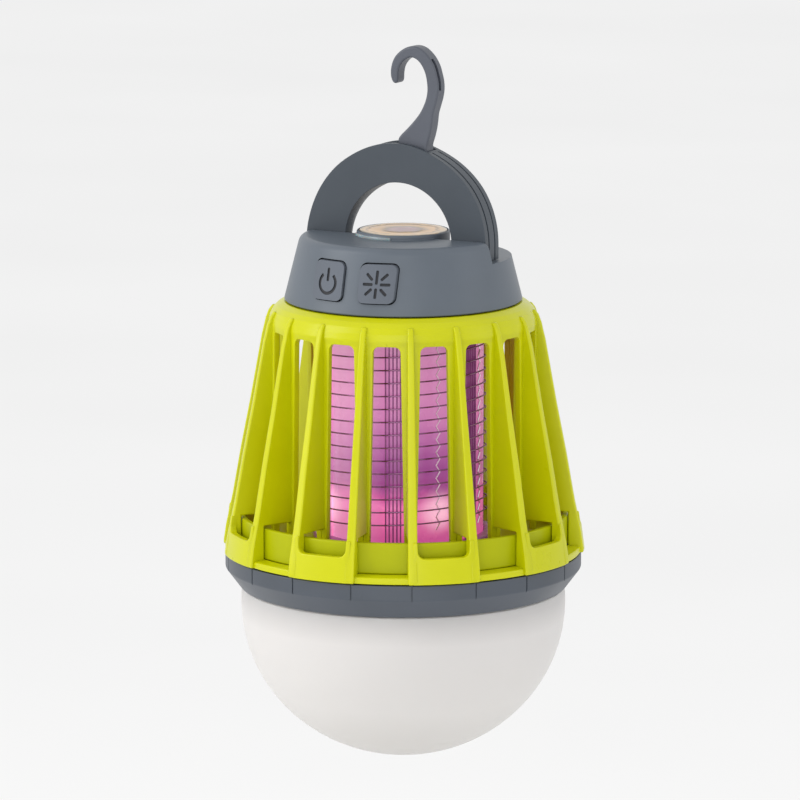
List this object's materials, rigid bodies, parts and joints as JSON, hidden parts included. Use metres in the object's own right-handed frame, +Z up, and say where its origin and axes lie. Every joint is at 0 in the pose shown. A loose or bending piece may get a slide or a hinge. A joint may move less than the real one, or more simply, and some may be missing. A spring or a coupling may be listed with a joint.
{
  "type": "hanging lantern insect zapper",
  "caption": "Hanging electric bug zapper lantern with a finned cage round a wire grid and light column, a carry handle, a folding hook and a domed lamp base.",
  "frame": {"origin": "inner top of the handle arch on the vertical centre line, where the lantern hangs", "axes": "+Z up along the centre line, -Y towards the buttons at the front, +X to the right seen from the front"},
  "size_m": [0.09, 0.0895, 0.1772],
  "materials": {
    "slate_plastic": "fine satin moulded plastic",
    "slate_base_plastic": "fine satin moulded plastic",
    "grey_rubber": "soft matt rubber",
    "lime_plastic": "glossy moulded plastic",
    "amber_label": "satin printed disc, amber ring round a rose centre",
    "steel": "bright drawn steel",
    "dark_plastic": "dark moulded plastic",
    "circuit_board": "green solder mask",
    "copper_part": "dipped copper brown",
    "brass_contact": "plated contact",
    "lilac_light_sleeve": "translucent light column",
    "cell_jacket": "shrink-wrapped can",
    "white_plastic": "white moulded plastic",
    "violet_led": "clear violet lens",
    "white_led": "white package with yellow phosphor",
    "frosted_diffuser": "frosted translucent dome"
  },
  "bodies": {
    "lantern": {"cap_shell": "slate_plastic", "label_disc": "amber_label", "handle": "slate_plastic", "hook_pin": "steel", "power_switch": "dark_plastic", "mode_switch": "dark_plastic", "button_board": "circuit_board", "main_board": "circuit_board", "hv_transformer": "dark_plastic", "hv_capacitor": "copper_part", "usb_port": "steel", "cage": "lime_plastic", "cap_screw_1": "steel", "cap_screw_2": "steel", "cap_screw_3": "steel", "cap_screw_4": "steel", "grid_frame": "dark_plastic", "grid_wire_live": "steel", "grid_wire_return": "steel", "light_sleeve": "lilac_light_sleeve", "battery_tube": "white_plastic", "battery_cell": "cell_jacket", "battery_spring": "brass_contact", "battery_contact": "brass_contact", "led_carrier": "white_plastic", "uv_led_board": "circuit_board", "uv_led_1": "violet_led", "uv_led_2": "violet_led", "uv_led_3": "violet_led", "uv_led_4": "violet_led", "lamp_contact_pin_1": "brass_contact", "lamp_contact_pin_2": "brass_contact"},
    "hook": {"hook": "slate_plastic"},
    "power_key": {"power_button": "grey_rubber"},
    "mode_key": {"mode_button": "grey_rubber"},
    "port_cover": {"usb_cover": "grey_rubber"},
    "lamp_base": {"catch_tray": "lime_plastic", "base_ring": "slate_base_plastic", "base_plate": "slate_base_plastic", "base_screw_1": "steel", "base_screw_2": "steel", "base_screw_3": "steel", "contact_disc": "circuit_board", "lamp_board": "white_plastic", "reflector": "white_plastic", "lamp_led_1": "white_led", "lamp_led_2": "white_led", "lamp_led_3": "white_led", "lamp_led_4": "white_led", "lamp_led_5": "white_led", "lamp_led_6": "white_led", "dome_seal": "grey_rubber", "dome_diffuser": "frosted_diffuser"}
  },
  "joints": [
    {"name": "hook_fold", "type": "hinge", "parent": "lantern", "child": "hook", "pos_m": [0.0048, 0, 0.0073], "axis": [0, -1, 0], "range_deg": [0, 100]},
    {"name": "power_press", "type": "slide", "parent": "lantern", "child": "power_key", "axis": [0, 1, 0], "range_m": [0, 0.0008], "stiffness_N_per_m": 1500},
    {"name": "mode_press", "type": "slide", "parent": "lantern", "child": "mode_key", "axis": [0, 1, 0], "range_m": [0, 0.0008], "stiffness_N_per_m": 1500},
    {"name": "port_cover_open", "type": "hinge", "parent": "lantern", "child": "port_cover", "pos_m": [-0.0066, 0.02746, -0.024], "axis": [0, 0, 1], "range_deg": [0, 75]},
    {"name": "base_twist", "type": "hinge", "parent": "lantern", "child": "lamp_base", "pos_m": [0, 0, -0.0921], "axis": [0, 0, 1], "range_deg": [0, 20]}
  ]
}
